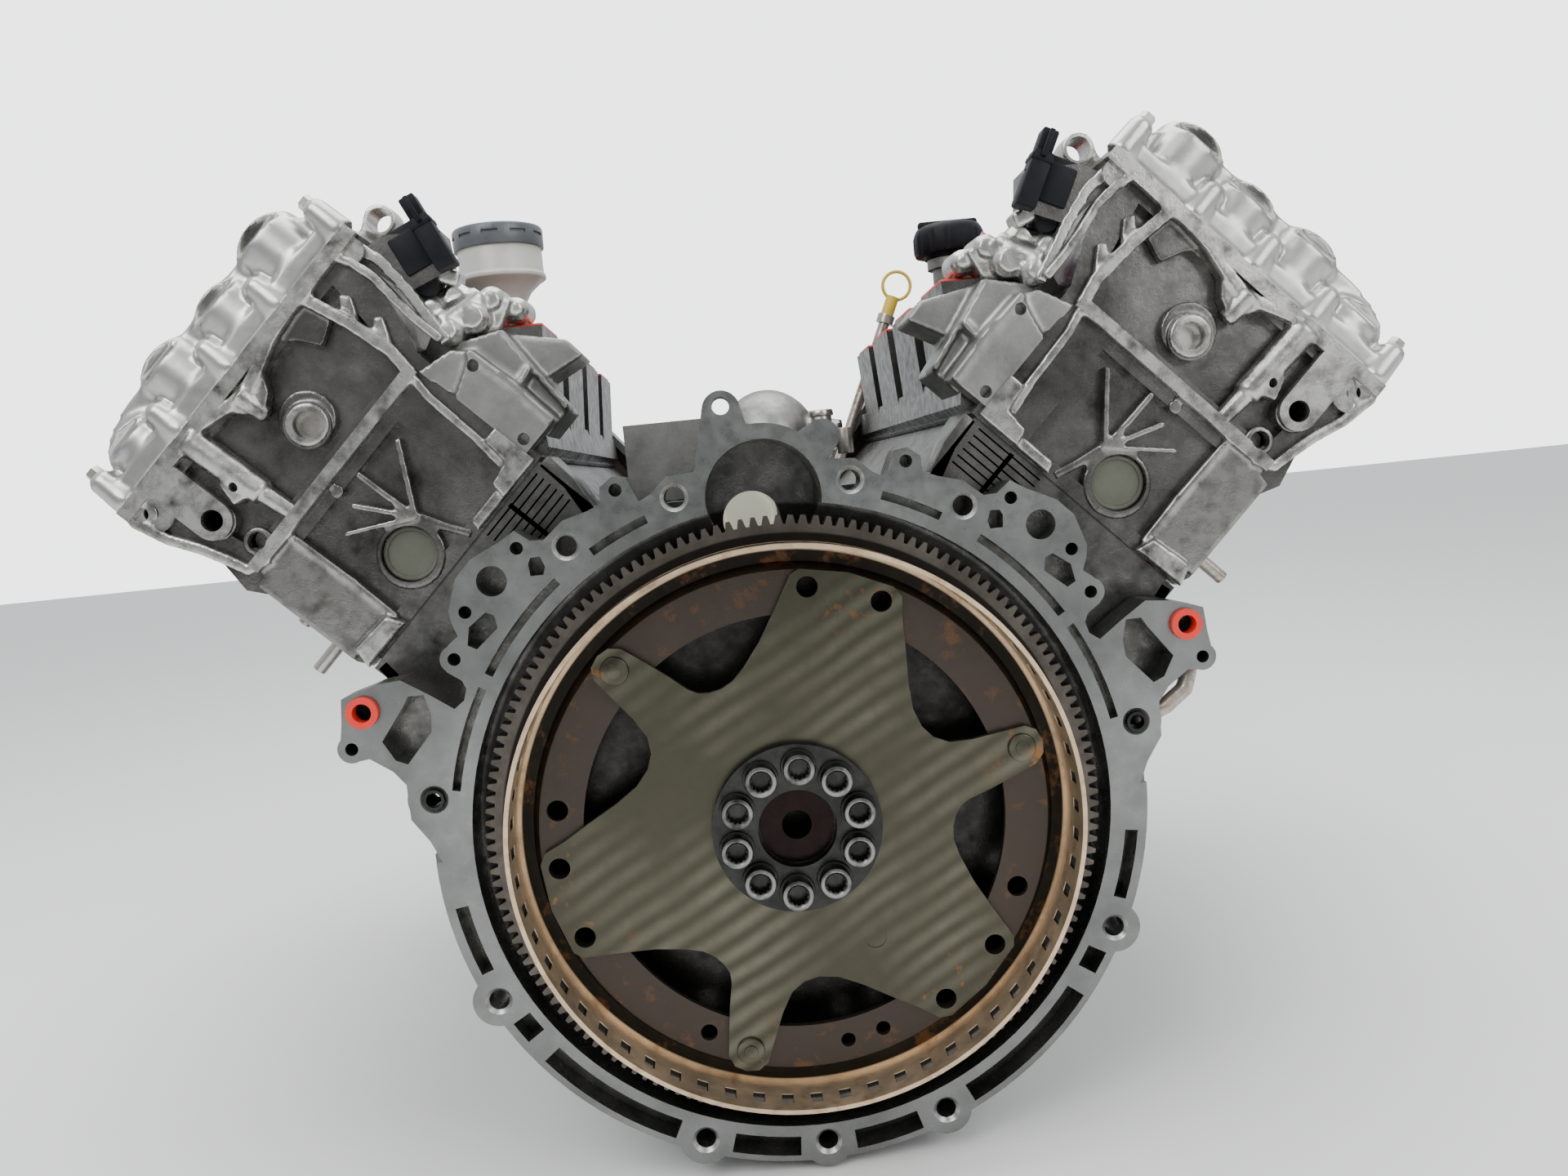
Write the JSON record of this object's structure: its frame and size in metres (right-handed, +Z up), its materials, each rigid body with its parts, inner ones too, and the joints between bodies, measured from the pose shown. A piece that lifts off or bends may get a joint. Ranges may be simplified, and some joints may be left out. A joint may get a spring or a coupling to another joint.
{
  "type": "v engine long block",
  "caption": "V engine long block in separate parts: block, bedplate, heads, cam covers, crankshaft with flexplate and ring gear, rods, pistons, camshafts, chains and trim.",
  "frame": {"origin": "on the crank axis, in the plane of the rear bell flange, inside the converter pilot bore", "axes": "+Y runs along the crank axis to the front of the engine, +Z is up between the banks, +X is to the right seen from the rear"},
  "size_m": [0.738, 0.637, 0.587],
  "materials": {
    "cast_aluminium": "oily sand-cast with machined faces",
    "cover_aluminium": "bright die-cast",
    "dull_aluminium": "dull cast",
    "forged_steel": "machined forged steel",
    "flexplate_steel": "oily pressed steel with rust",
    "rim_steel": "heat-tinted pressed steel",
    "gear_steel": "dark hardened steel",
    "bolt_steel": "dark phosphated steel",
    "plated_steel": "zinc-plated steel",
    "spring_steel": "drawn spring steel",
    "cast_iron_part": "machined cast iron",
    "bush_bronze": "aged bronze",
    "bearing_metal": "tin-aluminium bearing lining",
    "gasket_steel": "layered steel gasket",
    "red_rubber": "moulded seal",
    "black_rubber": "moulded seal",
    "black_plastic": "moulded",
    "guide_plastic": "oil-stained nylon",
    "yellow_plastic": "moulded grip",
    "ceramic_white": "glazed insulator, stated as plastic"
  },
  "bodies": {
    "engine": {"engine_block": "cast_aluminium", "bedplate": "cast_aluminium", "oil_pan": "dull_aluminium", "head_left": "cast_aluminium", "head_right": "cast_aluminium", "head_gaskets": "gasket_steel", "cam_cover_left": "cover_aluminium", "cam_cover_right": "cover_aluminium", "front_cover": "dull_aluminium", "rear_main_seal": "black_rubber", "main_bearing_shells": "bearing_metal", "cam_bearing_caps": "dull_aluminium", "head_bolts": "bolt_steel", "cover_bolts": "plated_steel", "bedplate_bolts": "bolt_steel", "dowel_sleeves": "bolt_steel", "core_plugs": "plated_steel", "cam_sensors": "black_plastic", "breather_neck": "cover_aluminium", "oil_filler_neck": "dull_aluminium", "dipstick_tube": "plated_steel", "intake_port_seals": "red_rubber", "flange_seals": "red_rubber", "spark_plugs": "ceramic_white", "exhaust_studs": "plated_steel", "coolant_manifold": "dull_aluminium", "timing_chains": "forged_steel", "chain_guides": "guide_plastic", "valves": "forged_steel", "valve_springs": "spring_steel", "tappets": "forged_steel"},
    "crank": {"crankshaft": "forged_steel", "crank_sprocket": "gear_steel", "flexplate_star": "flexplate_steel", "flexplate_rim": "rim_steel", "ring_gear": "gear_steel", "flexplate_washer": "bolt_steel", "flexplate_bolts": "bolt_steel", "flexplate_rivets": "plated_steel", "pilot_bush": "bush_bronze", "crank_damper": "cast_iron_part"},
    "cam_intake_left": {"camshaft_intake_left": "forged_steel"},
    "cam_exhaust_left": {"camshaft_exhaust_left": "forged_steel"},
    "cam_intake_right": {"camshaft_intake_right": "forged_steel"},
    "cam_exhaust_right": {"camshaft_exhaust_right": "forged_steel"},
    "rods_1": {"conrods_pin_1": "forged_steel"},
    "rods_2": {"conrods_pin_2": "forged_steel"},
    "rods_3": {"conrods_pin_3": "forged_steel"},
    "rods_4": {"conrods_pin_4": "forged_steel"},
    "piston_left_1": {"piston_left_1": "bearing_metal"},
    "piston_right_1": {"piston_right_1": "bearing_metal"},
    "piston_left_2": {"piston_left_2": "bearing_metal"},
    "piston_right_2": {"piston_right_2": "bearing_metal"},
    "piston_left_3": {"piston_left_3": "bearing_metal"},
    "piston_right_3": {"piston_right_3": "bearing_metal"},
    "piston_left_4": {"piston_left_4": "bearing_metal"},
    "piston_right_4": {"piston_right_4": "bearing_metal"},
    "pump_pulley": {"water_pump_pulley": "cast_iron_part"},
    "filler_cap": {"oil_filler_cap": "black_plastic"},
    "dipstick": {"dipstick": "yellow_plastic"}
  },
  "joints": [
    {"name": "crank_turn", "type": "hinge", "parent": "engine", "child": "crank", "pos_m": [0, 0.25, 0], "axis": [0, 1, 0], "continuous": true, "deforming": ["conrods_pin_1", "conrods_pin_2", "conrods_pin_3", "conrods_pin_4", "tappets", "valves", "valve_springs"]},
    {"name": "cam_intake_left_turn", "type": "hinge", "parent": "engine", "child": "cam_intake_left", "pos_m": [-0.24042, 0.2, 0.30264], "axis": [0, 1, 0], "continuous": true, "deforming": ["tappets", "valves", "valve_springs"]},
    {"name": "cam_exhaust_left_turn", "type": "hinge", "parent": "engine", "child": "cam_exhaust_left", "pos_m": [-0.30264, 0.2, 0.24042], "axis": [0, 1, 0], "continuous": true, "deforming": ["tappets", "valves", "valve_springs"]},
    {"name": "cam_intake_right_turn", "type": "hinge", "parent": "engine", "child": "cam_intake_right", "pos_m": [0.24042, 0.2, 0.30264], "axis": [0, 1, 0], "continuous": true, "deforming": ["tappets", "valves", "valve_springs"]},
    {"name": "cam_exhaust_right_turn", "type": "hinge", "parent": "engine", "child": "cam_exhaust_right", "pos_m": [0.30264, 0.2, 0.24042], "axis": [0, 1, 0], "continuous": true, "deforming": ["tappets", "valves", "valve_springs"]},
    {"name": "rods_1_turn", "type": "hinge", "parent": "crank", "child": "rods_1", "pos_m": [0, 0.103, 0.0415], "axis": [0, 1, 0], "continuous": true, "deforming": ["conrods_pin_1"]},
    {"name": "rods_2_turn", "type": "hinge", "parent": "crank", "child": "rods_2", "pos_m": [0.0415, 0.211, 0], "axis": [0, 1, 0], "continuous": true, "deforming": ["conrods_pin_2"]},
    {"name": "rods_3_turn", "type": "hinge", "parent": "crank", "child": "rods_3", "pos_m": [-0.0415, 0.319, 0], "axis": [0, 1, 0], "continuous": true, "deforming": ["conrods_pin_3"]},
    {"name": "rods_4_turn", "type": "hinge", "parent": "crank", "child": "rods_4", "pos_m": [0, 0.427, -0.0415], "axis": [0, 1, 0], "continuous": true, "deforming": ["conrods_pin_4"]},
    {"name": "piston_left_1_stroke", "type": "slide", "parent": "engine", "child": "piston_left_1", "axis": [-0.7071, 0, 0.7071], "range_m": [-0.068, 0.015], "deforming": ["conrods_pin_1"]},
    {"name": "piston_right_1_stroke", "type": "slide", "parent": "engine", "child": "piston_right_1", "axis": [0.7071, 0, 0.7071], "range_m": [-0.068, 0.015], "deforming": ["conrods_pin_1"]},
    {"name": "piston_left_2_stroke", "type": "slide", "parent": "engine", "child": "piston_left_2", "axis": [-0.7071, 0, 0.7071], "range_m": [-0.00931, 0.07369], "deforming": ["conrods_pin_2"]},
    {"name": "piston_right_2_stroke", "type": "slide", "parent": "engine", "child": "piston_right_2", "axis": [0.7071, 0, 0.7071], "range_m": [-0.068, 0.015], "deforming": ["conrods_pin_2"]},
    {"name": "piston_left_3_stroke", "type": "slide", "parent": "engine", "child": "piston_left_3", "axis": [-0.7071, 0, 0.7071], "range_m": [-0.068, 0.015], "deforming": ["conrods_pin_3"]},
    {"name": "piston_right_3_stroke", "type": "slide", "parent": "engine", "child": "piston_right_3", "axis": [0.7071, 0, 0.7071], "range_m": [-0.00931, 0.07369], "deforming": ["conrods_pin_3"]},
    {"name": "piston_left_4_stroke", "type": "slide", "parent": "engine", "child": "piston_left_4", "axis": [-0.7071, 0, 0.7071], "range_m": [-0.00931, 0.07369], "deforming": ["conrods_pin_4"]},
    {"name": "piston_right_4_stroke", "type": "slide", "parent": "engine", "child": "piston_right_4", "axis": [0.7071, 0, 0.7071], "range_m": [-0.00931, 0.07369], "deforming": ["conrods_pin_4"]},
    {"name": "pump_turn", "type": "hinge", "parent": "engine", "child": "pump_pulley", "pos_m": [0, 0.6, 0.142], "axis": [0, 1, 0], "continuous": true},
    {"name": "filler_cap_turn", "type": "hinge", "parent": "engine", "child": "filler_cap", "pos_m": [0.164, 0.255, 0.345], "axis": [0, 0, 1], "range_deg": [0, 90]},
    {"name": "dipstick_pull", "type": "slide", "parent": "engine", "child": "dipstick", "axis": [0.4028, 0, 0.9153], "range_m": [0, 0.15]}
  ],
  "couplings": [
    {"joint": "cam_intake_left_turn", "follows": "crank_turn", "ratio": 0.5},
    {"joint": "cam_exhaust_left_turn", "follows": "crank_turn", "ratio": 0.5},
    {"joint": "cam_intake_right_turn", "follows": "crank_turn", "ratio": 0.5},
    {"joint": "cam_exhaust_right_turn", "follows": "crank_turn", "ratio": 0.5},
    {"joint": "rods_1_turn", "follows": "crank_turn", "ratio": -1},
    {"joint": "rods_2_turn", "follows": "crank_turn", "ratio": -1},
    {"joint": "rods_3_turn", "follows": "crank_turn", "ratio": -1},
    {"joint": "rods_4_turn", "follows": "crank_turn", "ratio": -1}
  ]
}
